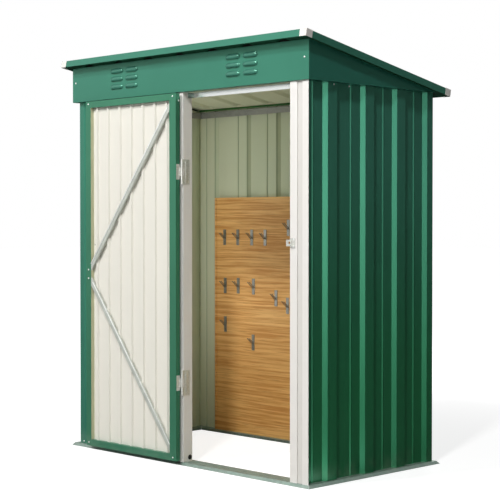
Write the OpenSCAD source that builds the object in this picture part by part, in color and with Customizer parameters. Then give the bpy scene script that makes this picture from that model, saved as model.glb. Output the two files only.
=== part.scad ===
// Lean-to metal tool shed with one hinged door, shown open. Millimetres, +Z up.
// The origin is on the ground at the centre of the roof's outline; the door side faces -Y.

/* [Overall] */
// Height of the front roof edge above the ground
height = 1802; // [1700:1:1900]
// Width over the side walls
wall_w = 1480; // [1420:5:1490]
// Depth over the front and rear walls
wall_d = 783; // [740:1:800]
// Height of the front roof edge above the wall tops
fascia_h = 193; // [188:1:220]
// Rise of the rear wall's top above the side walls
rear_rise = 0.5; // [0:0.5:8]

/* [Base rails] */
// Reach of the sloped lip beyond the walls
base_lip = 25; // [20:1:34]
// Reach of the flat ledge beyond the walls
base_ledge = 14; // [14:1:18]
// Height of the ledge
base_h = 12; // [8:1:16]
// Reach of the ledge into the shed
base_in = 57; // [45:1:80]
// Thickness of the folded base sheet
base_t = 2; // [1.5:0.5:3]
// Width of the inner foot under the ledge
base_foot = 14; // [8:1:20]
// Gap at the mitred corners
mitre_gap = 1; // [0.5:0.5:2]
// Number of grooves along the threshold
groove_n = 3; // [2:1:4]
// Width of a threshold groove
groove_w = 4; // [2:1:6]
// Depth of a threshold groove
groove_d = 0.8; // [0.4:0.1:1]
// Spacing of the threshold grooves
groove_pitch = 18; // [10:1:18]
// First groove's distance from the ledge's outer edge
groove_in = 13.5; // [10:0.5:16]

/* [Wall sheets] */
// Thickness of the wall, fascia and roof sheets
sheet_t = 1.5; // [1:0.1:2]
// Depth of the wall profile
rib_h = 16; // [10:1:18]
// Width of a wall crown
crown_w = 54; // [40:1:64]
// Spacing of the wall crowns
crown_pitch = 203; // [190:1:215]
// First crown's distance from its sheet's starting edge
first_crown = 137.5; // [120:0.5:150]
// Last crown's distance from the lap with the next sheet
lap_reach = 94; // [88:1:100]
// Width of the flat that turns a corner
corner_w = 38; // [30:1:44]
// Width of the bead in the middle of each pan
bead_w = 10; // [6:1:14]
// Height of that bead
bead_h = 4; // [3:0.5:6]
// Set-back of the front sheet's edge from the side wall's crowns
front_in = 9; // [0:0.5:12]

/* [Top rails] */
// Height of the channel along the wall tops
top_rail_h = 28; // [20:1:36]
// Depth of that channel
top_rail_d = 12; // [8:1:18]
// Drop of that channel below the wall tops
top_rail_drop = 8; // [4:1:14]
// Thickness of the channel sheet
top_rail_t = 1.5; // [1:0.1:2]

/* [Doorway] */
// Left edge of the doorway from the shed's centre line
doorway_x = 12; // [0:1:20]
// Width of the right door post up to the right wall's face
post_right_w = 90; // [80:1:100]
// Width of the left door post
post_left_w = 36; // [28:1:48]
// Depth of the door posts
post_d = 51; // [46:1:58]
// Reach of the posts in front of the wall sheets
post_proud = 13.5; // [12.5:0.5:13.5]
// Thickness of the post sheet
post_t = 2; // [1.5:0.5:3]
// Overlap of the right post's face past the right wall
post_lap = 10; // [0:0.5:14]
// Distance from the doorway to the recess in the right post
recess_x = 39.5; // [25:0.5:42]
// Width of that recess
recess_w = 28; // [18:1:32]
// Depth of that recess
recess_d = 4; // [3:1:6]
// Height of the bar over the doorway
header_h = 24; // [20:1:36]
// Depth of the bar over the doorway
header_d = 24; // [20:1:40]
// Overlap of that bar with the posts' inner edges
header_lap = 5; // [4:0.5:14]

/* [Door] */
// Gap beside the shut door
door_gap = 6; // [5.5:0.5:8]
// Gap below the door
door_gap_low = 6; // [5.5:0.5:10]
// Gap above the door
door_gap_top = 6; // [5.5:0.5:10]
// Thickness of the door
door_t = 22; // [20:1:25]
// Width of the stile at the hinges
hinge_stile_w = 42; // [36:1:52]
// Width of the stile at the free edge
free_stile_w = 36; // [34:1:44]
// Height of the door's top and bottom rails
door_rail_h = 29; // [24:1:38]
// Wall thickness of the door frame
door_frame_t = 1.5; // [1:0.1:2.5]
// Set-back of the door sheet behind the outer face
door_sheet_in = 3; // [2:0.5:5]
// Spacing of the door sheet's ribs
door_rib_pitch = 81; // [70:1:90]
// Width of a rib's top
door_rib_w = 10; // [6:1:16]
// Height of a rib
door_rib_h = 8; // [5:1:10]
// Width of a brace's flat leg
brace_w = 22; // [16:1:30]
// Thickness of a brace
brace_t = 2; // [1.5:0.5:3]
// Drop of the upper brace's end below the top rail
brace_drop = 26; // [22:1:40]
// Half the spread of the two braces where they meet the free stile
brace_spread = 34; // [24:1:44]

/* [Hinges] */
// Set-back of the hinge axis from the doorway's edge
hinge_in = 2; // [1:0.5:3]
// Outside radius of the knuckles
knuckle_r = 5; // [4.5:0.25:5.5]
// Radius of the hinge pins
pin_r = 2; // [1.5:0.25:2.5]
// Radial clearance of the pins
pin_fit = 0.05; // [0.02:0.01:0.1]
// Gap between the knuckles and the post's face
knuckle_gap = 1; // [0.8:0.1:1.5]
// Length of a hinge
hinge_len = 108; // [90:1:120]
// Length of the middle knuckle
knuckle_mid = 38; // [30:1:44]
// Gap between knuckles
knuckle_play = 0.5; // [0.3:0.1:1]
// Height of a door leaf
door_leaf_h = 66; // [50:1:80]
// Thickness of the leaves
leaf_t = 1.2; // [1:0.1:1.5]
// Set-back of the frame leaves behind the post's face
leaf_in = 3.2; // [2.5:0.1:4]
// Distance from the frame leaves to the post's inner edge
leaf_end = 15; // [10:1:20]
// Margin of the door leaves inside the door's inner face
leaf_margin = 3; // [2:0.5:5]
// Gap between a shut door's knuckle and the frame leaf
leaf_gap = 0.5; // [0.3:0.1:0.8]
// Distance of each hinge from the door's mid height
hinge_offset = 455; // [300:5:600]

/* [Latch] */
// Height of the latch above the ground
latch_z = 967; // [800:1:1100]
// Height of the latch and keeper plates
latch_plate_h = 40; // [30:1:50]
// Thickness of those plates
latch_plate_t = 1.5; // [1:0.1:2]
// Margin of the latch plate inside its stile
latch_margin = 3; // [2:0.5:5]
// Radius of the bolt
bolt_r = 4; // [3:0.5:4.5]
// Distance of the bolt's axis from the door's face
bolt_off = 8; // [7.5:0.5:8.5]
// Radius of the bolt's knob
knob_r = 3; // [2:0.5:3.5]
// Reach of the knob from the door's face
knob_reach = 17; // [14:0.5:18]
// Clearance of the keeper's hole round the bolt
keeper_fit = 1.5; // [0.5:0.5:1.5]
// Width of the keeper's plate
keeper_w = 26; // [20:1:30]
// Reach of the keeper's tab
keeper_reach = 26; // [20:1:30]
// Thickness of the keeper's tab
keeper_t = 2; // [1.5:0.5:3]
// Height of the keeper's tab
keeper_tab_h = 26; // [20:1:30]

/* [Fascia and gables] */
// Reach of the fascia in front of the wall
fascia_front = 20; // [18:1:22]
// Reach of the gable panels beside the walls
fascia_side = 18; // [10:1:22]
// Distance of a louvre group from the centre line
louvre_group_x = 379; // [300:1:450]
// Spacing of the two columns in a group
louvre_col = 103; // [90:1:120]
// Spacing of the rows
louvre_row = 35.5; // [30:0.5:40]
// Number of rows
louvre_rows = 3; // [2:1:3]
// Height of the middle row above the wall tops
louvre_z = 87; // [80:1:90]
// Length of a louvre
louvre_len = 72; // [60:1:80]
// Radius of a louvre's hood
louvre_r = 14; // [12:0.5:15]
// Reach of a louvre's hood
louvre_out = 7; // [5:0.5:8]
// Depth of the open side below the hood's middle
louvre_open = 7; // [5:0.5:8]
// Height of the slot above the hood's middle
louvre_slot = 8; // [6:0.5:8]

/* [Roof] */
// Reach of the roof beyond the side walls
roof_side = 46; // [40:1:60]
// Reach of the roof beyond the front and rear walls
roof_front = 68; // [64:1:80]
// Height of the roof edge
trim_h = 31; // [28:1:32]
// Set-back of the trims behind the corner caps' faces
trim_in = 1; // [0.5:0.5:1.5]
// Thickness of the trims
trim_t = 1.5; // [1:0.1:2]
// Width of the trims' flanges
trim_flange = 18; // [12:1:20]
// Drip edge of the trims below the roof sheet
trim_drip = 5; // [4:0.5:6]
// Gap between roof sheet and trims
roof_gap = 0.3; // [0.3:0.1:1]
// Seam between the two front trims
trim_seam = 0.6; // [0.4:0.2:2]
// Height of the roof ribs
roof_rib_h = 12; // [8:1:14]
// Width of a roof crown
roof_crown_w = 40; // [30:1:54]
// Spacing of the roof crowns
roof_pitch = 208; // [200:1:214]
// Side of a corner cap
cap_side = 36; // [28:1:44]
// Wall of a corner cap
cap_t = 2; // [1.6:0.2:2.4]

/* [Tool board] */
// Distance from the tool board to the side walls
board_side = 119.5; // [80:0.5:160]
// Top of the tool board above the base ledge
board_h = 1159; // [1130:1:1300]
// Thickness of the tool board
board_t = 18; // [12:1:22]
// Width of a hook's plate
hook_plate_w = 18; // [14:1:24]
// Height of a hook's plate
hook_plate_h = 77; // [60:1:90]
// Height of the prongs' roots above the plate's lower edge
hook_root = 31; // [20:1:40]
// Thickness of a hook's plate
hook_plate_t = 2; // [1:0.5:3]
// Spacing of a hook's two prongs
hook_gap = 12; // [8:1:12]
// Radius of a prong
prong_r = 2; // [1.5:0.25:2.5]
// Length of a prong
prong_len = 45; // [30:1:54]
// Rise of the prongs, degrees
prong_rise = 41; // [20:1:50]

/* [Hidden] */
$fn = 32;
eps = 0.01;
reach = 4000;

eave = height - fascia_h;
wall_x = wall_w / 2;
wall_y = wall_d / 2;
base_x = wall_x + base_lip;
base_y = wall_y + base_lip;
sheet_d = rib_h + sheet_t;
inner_x = wall_x - sheet_d;
inner_y = wall_y - sheet_d;
top_rail_z = eave - top_rail_drop - top_rail_h;

post_y = -wall_y - post_proud;
post_h = eave - base_h;
post_left_x = doorway_x - post_left_w;
post_right_x = wall_x - post_right_w;
doorway_w = post_right_x - doorway_x;

hinge_x = doorway_x - hinge_in;
hinge_y = post_y - knuckle_gap - knuckle_r;
door_w = doorway_w - 2 * door_gap;
door_x1 = 2 * hinge_x - doorway_x - door_gap;
door_x0 = door_x1 - door_w;
door_y1 = 2 * hinge_y - post_y;
door_y0 = door_y1 - door_t;
door_z0 = base_h + door_gap_low;
door_z1 = eave - door_gap_top;
door_h = door_z1 - door_z0;
door_mid = (door_z0 + door_z1) / 2;
sheet_x0 = door_x0 + free_stile_w;
sheet_x1 = door_x1 - hinge_stile_w;
door_sheet_y = door_y1 - door_sheet_in;
brace_d = door_sheet_y - sheet_t - door_rib_h - door_y0;
header_y = post_y + post_d - header_lap;
hinge_z = [door_mid - hinge_offset, door_mid + hinge_offset];
knuckle_end = (hinge_len - knuckle_mid) / 2 - knuckle_play;
// Edge of the door leaf's web, which passes the frame leaf when the door is shut
web_x = 2 * hinge_x - doorway_x - leaf_t - leaf_gap;

fascia_x = wall_x + fascia_side;
fascia_y = -wall_y - fascia_front;

roof_w = wall_w + 2 * roof_side;
roof_d = wall_d + 2 * roof_front;
// Fall of the roof that brings its sheets just over the rear wall; each pass makes it more exact
function fall(a) = atan((fascia_h - rear_rise - roof_gap - trim_h * cos(a) + trim_drip / cos(a))
    / (roof_d / 2 + wall_y));
roof_a = fall(fall(fall(0)));
roof_len = (roof_d - trim_h * sin(roof_a)) / cos(roof_a);
roof_y = -trim_h * sin(roof_a) / 2;
roof_z = height - roof_len / 2 * sin(roof_a) - trim_h * cos(roof_a);
trim_x = roof_w / 2 - trim_in;
trim_y = roof_len / 2 - trim_in;
roof_sheet_x = trim_x - trim_t - roof_gap;
roof_sheet_y = trim_y - trim_t - roof_gap;
roof_sheet_n = 3;
roof_sheet_w = 2 * roof_sheet_x / roof_sheet_n;
trim_end_x = roof_w / 2 - cap_side;
trim_end_y = roof_len / 2 - cap_side;
rear_top = eave + rear_rise;

// Edges of the three rear sheets; the outer ones meet the side walls' corner flats
rear_lap = -inner_x + first_crown + lap_reach;
rear_edges = [-wall_x + sheet_t, rear_lap, rear_lap + first_crown + lap_reach + 2 * crown_pitch,
    wall_x - sheet_t];
// First crown of each rear sheet
rear_crowns = [-inner_x + first_crown, rear_edges[1] + first_crown, rear_edges[2] + first_crown];
// Middle of the crown that turns a corner, from the corner
corner_crown = corner_w - crown_w / 2;
// Line where a side wall's two sheets meet
side_lap = -wall_y + first_crown + lap_reach;

board_w = 2 * (inner_x - board_side);
board_y = inner_y - board_t;
// Places of the prongs' roots: distances from the board's left edge and below its top edge
hook_places = [[70, 204], [164, 204], [262, 204], [354, 204], [510, 156], [74, 444],
    [167, 442], [274, 443], [428, 494], [505, 527], [75, 636], [272, 716]];

green = [0.16, 0.42, 0.33];
cream = [0.92, 0.91, 0.86];
white = [0.93, 0.92, 0.9];
zinc = [0.66, 0.69, 0.68];
steel = [0.6, 0.61, 0.62];
timber = [0.76, 0.55, 0.3];

// Outer line of a ribbed sheet, from the first crown before u0 to the last one after u1.
// Crowns stand at phase + k * pitch, and a bead runs between each two of them.
function ribbed_line(u0, u1, phase, pitch, crown, flank, h, bead_w, bead_h) = [
    for (k = [floor((u0 - phase) / pitch) - 1 : ceil((u1 - phase) / pitch) + 1])
        let (c = phase + k * pitch, b = c + pitch / 2)
        each concat(
            [[c - crown / 2 - flank, 0], [c - crown / 2, h], [c + crown / 2, h], [c + crown / 2 + flank, 0]],
            bead_h > 0 ? [[b - bead_w / 2, 0], [b, bead_h], [b + bead_w / 2, 0]] : [])];

// Ribbed sheet from u0 to u1 along X and len along Z. Its ribs stand towards -Y from y = 0.
module ribbed_sheet(u0, u1, len, phase, pitch, crown, flank, h, bead_w = 0, bead_h = 0) {
    line = ribbed_line(u0, u1, phase, pitch, crown, flank, h, bead_w, bead_h);
    outer = [for (p = line) [p[0], -p[1]]];
    inner = [for (i = [len(line) - 1 : -1 : 0]) [line[i][0], -line[i][1] + sheet_t]];
    intersection() {
        linear_extrude(len) polygon(concat(outer, inner));
        translate([u0, -reach / 2, -eps]) cube([u1 - u0, reach, len + 2 * eps]);
    }
}

// Wall sheet with its crowns at y = 0 facing -Y, standing on the base ledge
module wall_sheet(u0, u1, phase, top = eave) {
    translate([0, rib_h, base_h])
        ribbed_sheet(u0, u1, top - base_h, phase, crown_pitch, crown_w, rib_h, rib_h, bead_w, bead_h);
}

// Places what faces -Y at each side of the shed
module at_front() translate([0, -wall_y, 0]) children();
module at_rear() mirror([0, 1, 0]) at_front() children();
module at_right() translate([wall_x, 0, 0]) rotate([0, 0, 90]) children();
module at_left() mirror([1, 0, 0]) at_right() children();

// Extrudes a section given as [y, z] points along X from x0 to x1
module along_x(x0, x1) translate([x0, 0, 0]) rotate([90, 0, 90]) linear_extrude(x1 - x0) children();

// Folded base rail with mitred ends; half is the distance from its middle to its tips
module base_rail(half) {
    k = base_lip + base_in;
    g = mitre_gap / 2;
    slope_t = base_t * base_lip / (base_lip - base_ledge);
    intersection() {
        along_x(-half, half) polygon([[-base_lip, 0], [-base_ledge, base_h], [base_in, base_h],
            [base_in, 0], [base_in - base_foot, 0], [base_in - base_foot, base_t],
            [base_in - base_t, base_t], [base_in - base_t, base_h - base_t],
            [-base_ledge + base_t / 2, base_h - base_t], [-base_lip + slope_t, 0]]);
        linear_extrude(2 * base_h) polygon([[-half + g, -base_lip], [half - g, -base_lip],
            [half - g - k, base_in], [-half + g + k, base_in]]);
    }
}

module base_rail_front() color(zinc) difference() {
    at_front() base_rail(base_x);
    for (i = [0 : groove_n - 1])
        translate([doorway_x, -wall_y - base_ledge + groove_in + i * groove_pitch, base_h - groove_d])
            cube([doorway_w, groove_w, groove_d + eps]);
}
module base_rail_rear() color(zinc) at_rear() base_rail(base_x);
module base_rail_left() color(zinc) at_left() base_rail(base_y);
module base_rail_right() color(zinc) at_right() base_rail(base_y);

module front_wall_sheet() color(green)
    at_front() wall_sheet(-wall_x + front_in, post_left_x, -wall_x + corner_crown);
module side_sheet_front(y0) wall_sheet(y0, side_lap, -wall_y + first_crown);
module side_sheet_rear() wall_sheet(side_lap, wall_y, wall_y - corner_crown);
module left_wall_sheet_front() color(green) at_left() side_sheet_front(-wall_y + sheet_t);
module left_wall_sheet_rear() color(green) at_left() side_sheet_rear();
module right_wall_sheet_front() color(green) at_right() side_sheet_front(post_y + post_t);
module right_wall_sheet_rear() color(green) at_right() side_sheet_rear();
module rear_sheet(i) at_rear() wall_sheet(rear_edges[i], rear_edges[i + 1], rear_crowns[i], rear_top);
module rear_wall_sheet_left() color(green) rear_sheet(0);
module rear_wall_sheet_middle() color(green) rear_sheet(1);
module rear_wall_sheet_right() color(green) rear_sheet(2);

// Channel along a wall's top, open downwards, from x0 to x1
module top_rail(x0, x1) translate([0, sheet_d, top_rail_z]) along_x(x0, x1)
    difference() {
        square([top_rail_d, top_rail_h]);
        translate([top_rail_t, -eps]) square([top_rail_d - 2 * top_rail_t, top_rail_h - top_rail_t + eps]);
    }
module top_rail_front() color(zinc) at_front() top_rail(-inner_x, post_left_x);
module top_rail_rear() color(zinc) at_rear() top_rail(-inner_x, inner_x);
module top_rail_left() color(zinc) at_left() top_rail(-inner_y + top_rail_d, inner_y - top_rail_d);
module top_rail_right() color(zinc) at_right() top_rail(-inner_y, inner_y - top_rail_d);

module door_post_left() color(white) translate([post_left_x, post_y, base_h]) difference() {
    cube([post_left_w, post_d, post_h]);
    translate([post_t, post_t, -eps])
        cube([post_left_w - 2 * post_t, post_d - 2 * post_t, post_h + 2 * eps]);
}

module door_post_right() color(white) translate([post_right_x, post_y, base_h]) linear_extrude(post_h) {
    w = wall_x + post_lap - post_right_x;
    r0 = recess_x;
    r1 = recess_x + recess_w;
    polygon([[0, 0], [r0, 0], [r0, recess_d], [r1, recess_d], [r1, 0], [w, 0], [w, post_t],
        [r1 + post_t, post_t], [r1 + post_t, recess_d + post_t], [r0 - post_t, recess_d + post_t],
        [r0 - post_t, post_t], [post_t, post_t], [post_t, post_d], [0, post_d]]);
}

module door_header() color(white) translate([0, header_y, eave - header_h]) difference() {
    translate([doorway_x, 0, 0]) cube([doorway_w, header_d, header_h]);
    translate([doorway_x - eps, post_t, post_t])
        cube([doorway_w + 2 * eps, header_d - 2 * post_t, header_h - 2 * post_t]);
}

module frame_hinge_leaves() color(steel) for (z = hinge_z) translate([0, 0, z]) {
    leaf_y = post_y + leaf_in;
    translate([doorway_x, leaf_y, -hinge_len / 2]) cube([leaf_t, post_d - leaf_in - leaf_end, hinge_len]);
    for (side = [-1, 1]) translate([0, 0, side * (hinge_len - knuckle_end) / 2]) {
        translate([hinge_x, hinge_y, -knuckle_end / 2]) cylinder(r = knuckle_r, h = knuckle_end);
        translate([doorway_x, hinge_y, -knuckle_end / 2]) cube([leaf_t, leaf_y - hinge_y + eps, knuckle_end]);
    }
    translate([hinge_x, hinge_y, -hinge_len / 2]) cylinder(r = pin_r, h = hinge_len);
}

module latch_keeper() color(steel) translate([post_right_x + latch_margin, post_y, latch_z]) difference() {
    union() {
        translate([0, -latch_plate_t, -latch_plate_h / 2]) cube([keeper_w, latch_plate_t, latch_plate_h]);
        translate([0, -keeper_reach, -keeper_tab_h / 2]) cube([keeper_t, keeper_reach, keeper_tab_h]);
    }
    translate([-eps, -bolt_off, 0]) rotate([0, 90, 0])
        cylinder(r = bolt_r + keeper_fit, h = keeper_t + 2 * eps);
}

// The space below the roof sheets
module below_roof() translate([0, roof_y, roof_z]) rotate([-roof_a, 0, 0])
    translate([-reach / 2, -reach / 2, trim_drip - reach]) cube([reach, reach, reach]);

// Pressed louvre of radius r: a round hood with slanted ends, half as long as given at the fascia's face
module louvre_form(r, half) intersection() {
    translate([-half, louvre_r - louvre_out, 0]) rotate([0, 90, 0]) cylinder(r = r, h = 2 * half);
    translate([0, 0, -louvre_open]) linear_extrude(louvre_open + louvre_r)
        polygon([[-half, 0], [half, 0], [half - louvre_out, -louvre_out], [-half + louvre_out, -louvre_out]]);
}

// Hood of sheet metal, open below
module louvre_hood() difference() {
    louvre_form(louvre_r, louvre_len / 2);
    translate([0, 0, -eps]) louvre_form(louvre_r - sheet_t, louvre_len / 2 - sheet_t);
}

module at_louvres() for (side = [-1, 1], col = [-0.5, 0.5], row = [0 : louvre_rows - 1])
    translate([side * louvre_group_x + col * louvre_col, fascia_y,
        eave + louvre_z + (row - (louvre_rows - 1) / 2) * louvre_row]) children();

module front_fascia() color(green) {
    difference() {
        intersection() {
            union() {
                translate([-fascia_x, fascia_y, eave]) cube([2 * fascia_x, sheet_t, height - eave]);
                translate([-fascia_x + sheet_t, fascia_y, eave])
                    cube([2 * (fascia_x - sheet_t), fascia_front + sheet_d, sheet_t]);
            }
            below_roof();
        }
        at_louvres() translate([-louvre_len / 2 + sheet_t, -eps, -louvre_open])
            cube([louvre_len - 2 * sheet_t, sheet_t + 2 * eps, louvre_open + louvre_slot]);
    }
    at_louvres() louvre_hood();
}

module gable_panel() {
    y0 = fascia_y + sheet_t;
    intersection() {
        union() {
            translate([fascia_x - sheet_t, y0, eave]) cube([sheet_t, wall_y - y0, height - eave]);
            translate([inner_x, -inner_y, eave])
                cube([fascia_x - inner_x - eps, 2 * inner_y, sheet_t]);
        }
        below_roof();
    }
}
module gable_panel_right() color(green) gable_panel();
module gable_panel_left() color(green) mirror([1, 0, 0]) gable_panel();

// Places what is drawn flat on the roof's own slope
module on_roof() translate([0, roof_y, roof_z]) rotate([-roof_a, 0, 0]) children();

module roof_sheet(i) color(green) on_roof() translate([0, 0, trim_drip + sheet_t])
    rotate([-90, 0, 0]) translate([0, 0, -roof_sheet_y])
        ribbed_sheet(-roof_sheet_x + i * roof_sheet_w, -roof_sheet_x + (i + 1) * roof_sheet_w,
            2 * roof_sheet_y, 0, roof_pitch, roof_crown_w, roof_rib_h, roof_rib_h);
module roof_sheet_left() roof_sheet(0);
module roof_sheet_middle() roof_sheet(1);
module roof_sheet_right() roof_sheet(2);

// Channel round the roof sheet's edge, from x0 to x1, with its outer face at y = 0 facing -Y
module roof_trim(x0, x1) {
    top = trim_h - trim_in;
    along_x(x0, x1) polygon([[0, trim_in], [0, top], [trim_flange, top], [trim_flange, top - trim_t],
        [trim_t, top - trim_t], [trim_t, trim_drip], [trim_flange, trim_drip],
        [trim_flange, trim_drip - trim_t], [trim_t, trim_drip - trim_t], [trim_t, trim_in]]);
}
module roof_trim_front_left() color(green) on_roof() translate([0, -trim_y, 0])
    roof_trim(-trim_end_x, -trim_seam / 2);
module roof_trim_front_right() color(green) on_roof() translate([0, -trim_y, 0])
    roof_trim(trim_seam / 2, trim_end_x);
module roof_trim_rear() color(green) on_roof() mirror([0, 1, 0])
    translate([0, -trim_y, 0]) roof_trim(-trim_end_x, trim_end_x);
module roof_trim_right() color(green) on_roof() translate([trim_x, 0, 0]) rotate([0, 0, 90])
    roof_trim(-trim_end_y, trim_end_y);
module roof_trim_left() color(green) on_roof() mirror([1, 0, 0]) translate([trim_x, 0, 0])
    rotate([0, 0, 90]) roof_trim(-trim_end_y, trim_end_y);

module roof_corner_caps() color(white) on_roof() for (sx = [0, 1], sy = [0, 1])
    mirror([sx, 0, 0]) mirror([0, sy, 0])
        translate([trim_end_x, trim_end_y, 0]) difference() {
            cube([cap_side, cap_side, trim_h]);
            hollow = cap_side - cap_t + eps;
            translate([-eps, -eps, -eps]) cube([hollow, hollow, trim_h - cap_t + eps]);
        }

module at_board() translate([-board_w / 2, board_y, base_h]) children();
module tool_board() color(timber) at_board() cube([board_w, board_t, board_h]);

module tool_hooks() color(steel) at_board() for (p = hook_places) translate([p[0], 0, board_h - p[1]]) {
    translate([-hook_plate_w / 2, -hook_plate_t, -hook_root])
        cube([hook_plate_w, hook_plate_t, hook_plate_h]);
    for (side = [-0.5, 0.5]) translate([side * hook_gap, -hook_plate_t / 2, 0])
        rotate([90 - prong_rise, 0, 0]) cylinder(r = prong_r, h = prong_len);
}

// Hollow bar of the door frame; the hollow runs along X or along Z
module door_tube(size, along) {
    t = door_frame_t;
    hollow = along == "x" ? [size[0] + 2 * eps, size[1] - 2 * t, size[2] - 2 * t]
        : [size[0] - 2 * t, size[1] - 2 * t, size[2] + 2 * eps];
    difference() {
        cube(size);
        translate(along == "x" ? [-eps, t, t] : [t, t, -eps]) cube(hollow);
    }
}
module door_stile_hinge() color(green) translate([sheet_x1, door_y0, door_z0])
    door_tube([hinge_stile_w, door_t, door_h], "z");
module door_stile_free() color(green) translate([door_x0, door_y0, door_z0])
    door_tube([free_stile_w, door_t, door_h], "z");
module door_rail_top() color(green) translate([sheet_x0, door_y0, door_z1 - door_rail_h])
    door_tube([sheet_x1 - sheet_x0, door_t, door_rail_h], "x");
module door_rail_bottom() color(green) translate([sheet_x0, door_y0, door_z0])
    door_tube([sheet_x1 - sheet_x0, door_t, door_rail_h], "x");

module door_sheet() color(cream) translate([0, door_sheet_y - sheet_t, door_z0 + door_rail_h])
    ribbed_sheet(sheet_x0, sheet_x1, door_h - 2 * door_rail_h, (sheet_x0 + sheet_x1) / 2,
        door_rib_pitch, door_rib_w, door_rib_h / 2, door_rib_h);

// Angle brace of the upper half: flat leg on the inner face, standing leg along its lower edge
module brace() color(zinc) {
    run = sheet_x1 - sheet_x0;
    z1 = door_z1 - door_rail_h - brace_drop;
    z0 = door_mid + brace_spread;
    slant = sqrt(run * run + (z1 - z0) * (z1 - z0)) / run;
    low = brace_w * slant / 2;
    for (leg = [[brace_t, 2 * low], [brace_d, brace_t * slant]])
        translate([0, door_y0 + leg[0], 0]) rotate([90, 0, 0]) linear_extrude(leg[0])
            polygon([[sheet_x0, z0 - low], [sheet_x1, z1 - low],
                [sheet_x1, z1 - low + leg[1]], [sheet_x0, z0 - low + leg[1]]]);
}
module door_brace_upper() brace();
module door_brace_lower() translate([0, 0, 2 * door_mid]) mirror([0, 0, 1]) brace();

module door_hinge_leaves() color(steel) for (z = hinge_z) translate([0, 0, z]) difference() {
    union() {
        translate([door_x1, door_y0 + leaf_margin, -door_leaf_h / 2])
            cube([leaf_t, door_t - leaf_margin, door_leaf_h]);
        translate([door_x1, door_y1 - leaf_margin, -knuckle_mid / 2])
            cube([web_x - door_x1, hinge_y - door_y1 + leaf_margin, knuckle_mid]);
        translate([hinge_x, hinge_y, -knuckle_mid / 2]) cylinder(r = knuckle_r, h = knuckle_mid);
    }
    translate([hinge_x, hinge_y, -hinge_len / 2]) cylinder(r = pin_r + pin_fit, h = hinge_len);
}

module door_latch() color(steel) translate([door_x0 + free_stile_w / 2, door_y1, latch_z]) {
    w = free_stile_w - 2 * latch_margin;
    translate([-w / 2, 0, -latch_plate_h / 2]) cube([w, latch_plate_t, latch_plate_h]);
    for (x = [-w / 2, w / 2 - keeper_t]) translate([x, 0, -bolt_r - latch_plate_t])
        cube([keeper_t, bolt_off + bolt_r + latch_plate_t, 2 * (bolt_r + latch_plate_t)]);
    translate([-w / 2, bolt_off, 0]) rotate([0, 90, 0]) cylinder(r = bolt_r, h = w);
    translate([0, bolt_off, 0]) rotate([-90, 0, 0]) cylinder(r = knob_r, h = knob_reach - bolt_off);
}

base_rail_front();
base_rail_rear();
base_rail_left();
base_rail_right();
front_wall_sheet();
left_wall_sheet_front();
left_wall_sheet_rear();
right_wall_sheet_front();
right_wall_sheet_rear();
rear_wall_sheet_left();
rear_wall_sheet_middle();
rear_wall_sheet_right();
top_rail_front();
top_rail_rear();
top_rail_left();
top_rail_right();
door_post_left();
door_post_right();
door_header();
latch_keeper();
frame_hinge_leaves();
front_fascia();
gable_panel_left();
gable_panel_right();
roof_sheet_left();
roof_sheet_middle();
roof_sheet_right();
roof_trim_front_left();
roof_trim_front_right();
roof_trim_left();
roof_trim_right();
roof_trim_rear();
roof_corner_caps();
tool_board();
tool_hooks();
door_sheet();
door_stile_hinge();
door_stile_free();
door_rail_top();
door_rail_bottom();
door_brace_upper();
door_brace_lower();
door_hinge_leaves();
door_latch();
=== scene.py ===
# %% [markdown]
# # Metal tool shed
# A lean-to shed of ribbed steel sheet with one door, which stands open flat against the front.
# The CAD frame holds every wall, post, hinge, rail and hook at its real size. This script gives the
# surfaces their paint, zinc and timber, adds the small fasteners, and sets up the studio.

# %% Load the frame
import math

import bmesh
import bpy
from mathutils import Matrix, Vector


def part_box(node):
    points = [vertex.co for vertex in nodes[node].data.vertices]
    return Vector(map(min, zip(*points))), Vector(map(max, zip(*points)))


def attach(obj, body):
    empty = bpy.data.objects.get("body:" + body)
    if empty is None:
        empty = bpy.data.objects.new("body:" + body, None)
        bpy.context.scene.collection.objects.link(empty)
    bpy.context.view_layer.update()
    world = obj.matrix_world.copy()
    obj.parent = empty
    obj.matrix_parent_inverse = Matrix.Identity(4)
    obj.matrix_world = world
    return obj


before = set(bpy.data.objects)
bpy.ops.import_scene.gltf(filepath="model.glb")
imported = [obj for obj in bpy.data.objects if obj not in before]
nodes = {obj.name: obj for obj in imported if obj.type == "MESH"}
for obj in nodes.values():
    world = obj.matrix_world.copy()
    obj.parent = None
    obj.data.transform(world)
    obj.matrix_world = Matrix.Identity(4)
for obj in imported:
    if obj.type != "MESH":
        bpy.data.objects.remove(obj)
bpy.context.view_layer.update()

scene = bpy.context.scene
scene.view_settings.view_transform = "Standard"

# %% [markdown]
# ## Camera
# The photograph is taken from the front right, a little above half the shed's height and almost level.
# The place, turn and lens below were fitted to the corners of the base, the roof and the doorway.
# A long lens keeps the uprights parallel, so no shift is needed.

# %% Camera
CAMERA_PLACE, CAMERA_DIP, CAMERA_TURN = (4.4502, -4.3537, 1.0494), 1.1578, 45.5674
CAMERA_LENS, SENSOR_WIDTH = 99.188, 36
camera_data = bpy.data.cameras.new("photo_camera")
camera_data.sensor_width = SENSOR_WIDTH
camera_data.lens = CAMERA_LENS
camera = bpy.data.objects.new("photo_camera", camera_data)
camera.location = CAMERA_PLACE
camera.rotation_euler = (math.radians(90 - CAMERA_DIP), 0, math.radians(CAMERA_TURN))
scene.collection.objects.link(camera)
scene.camera = camera
print("camera", round((camera.location - Vector((0, 0, 0.9))).length, 2), "m from the shed")

# %% [markdown]
# ## Nodes in a few lines
# A material is a small graph of nodes. A few helpers keep the cells below short: they place a node with
# its settings and links, do sums, mix colours, start an empty material, start or place a node group with
# named sockets, and add a fine relief. Paint colours are written as on a paint card, from 0 to 255, and
# made linear for the shader.

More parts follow.
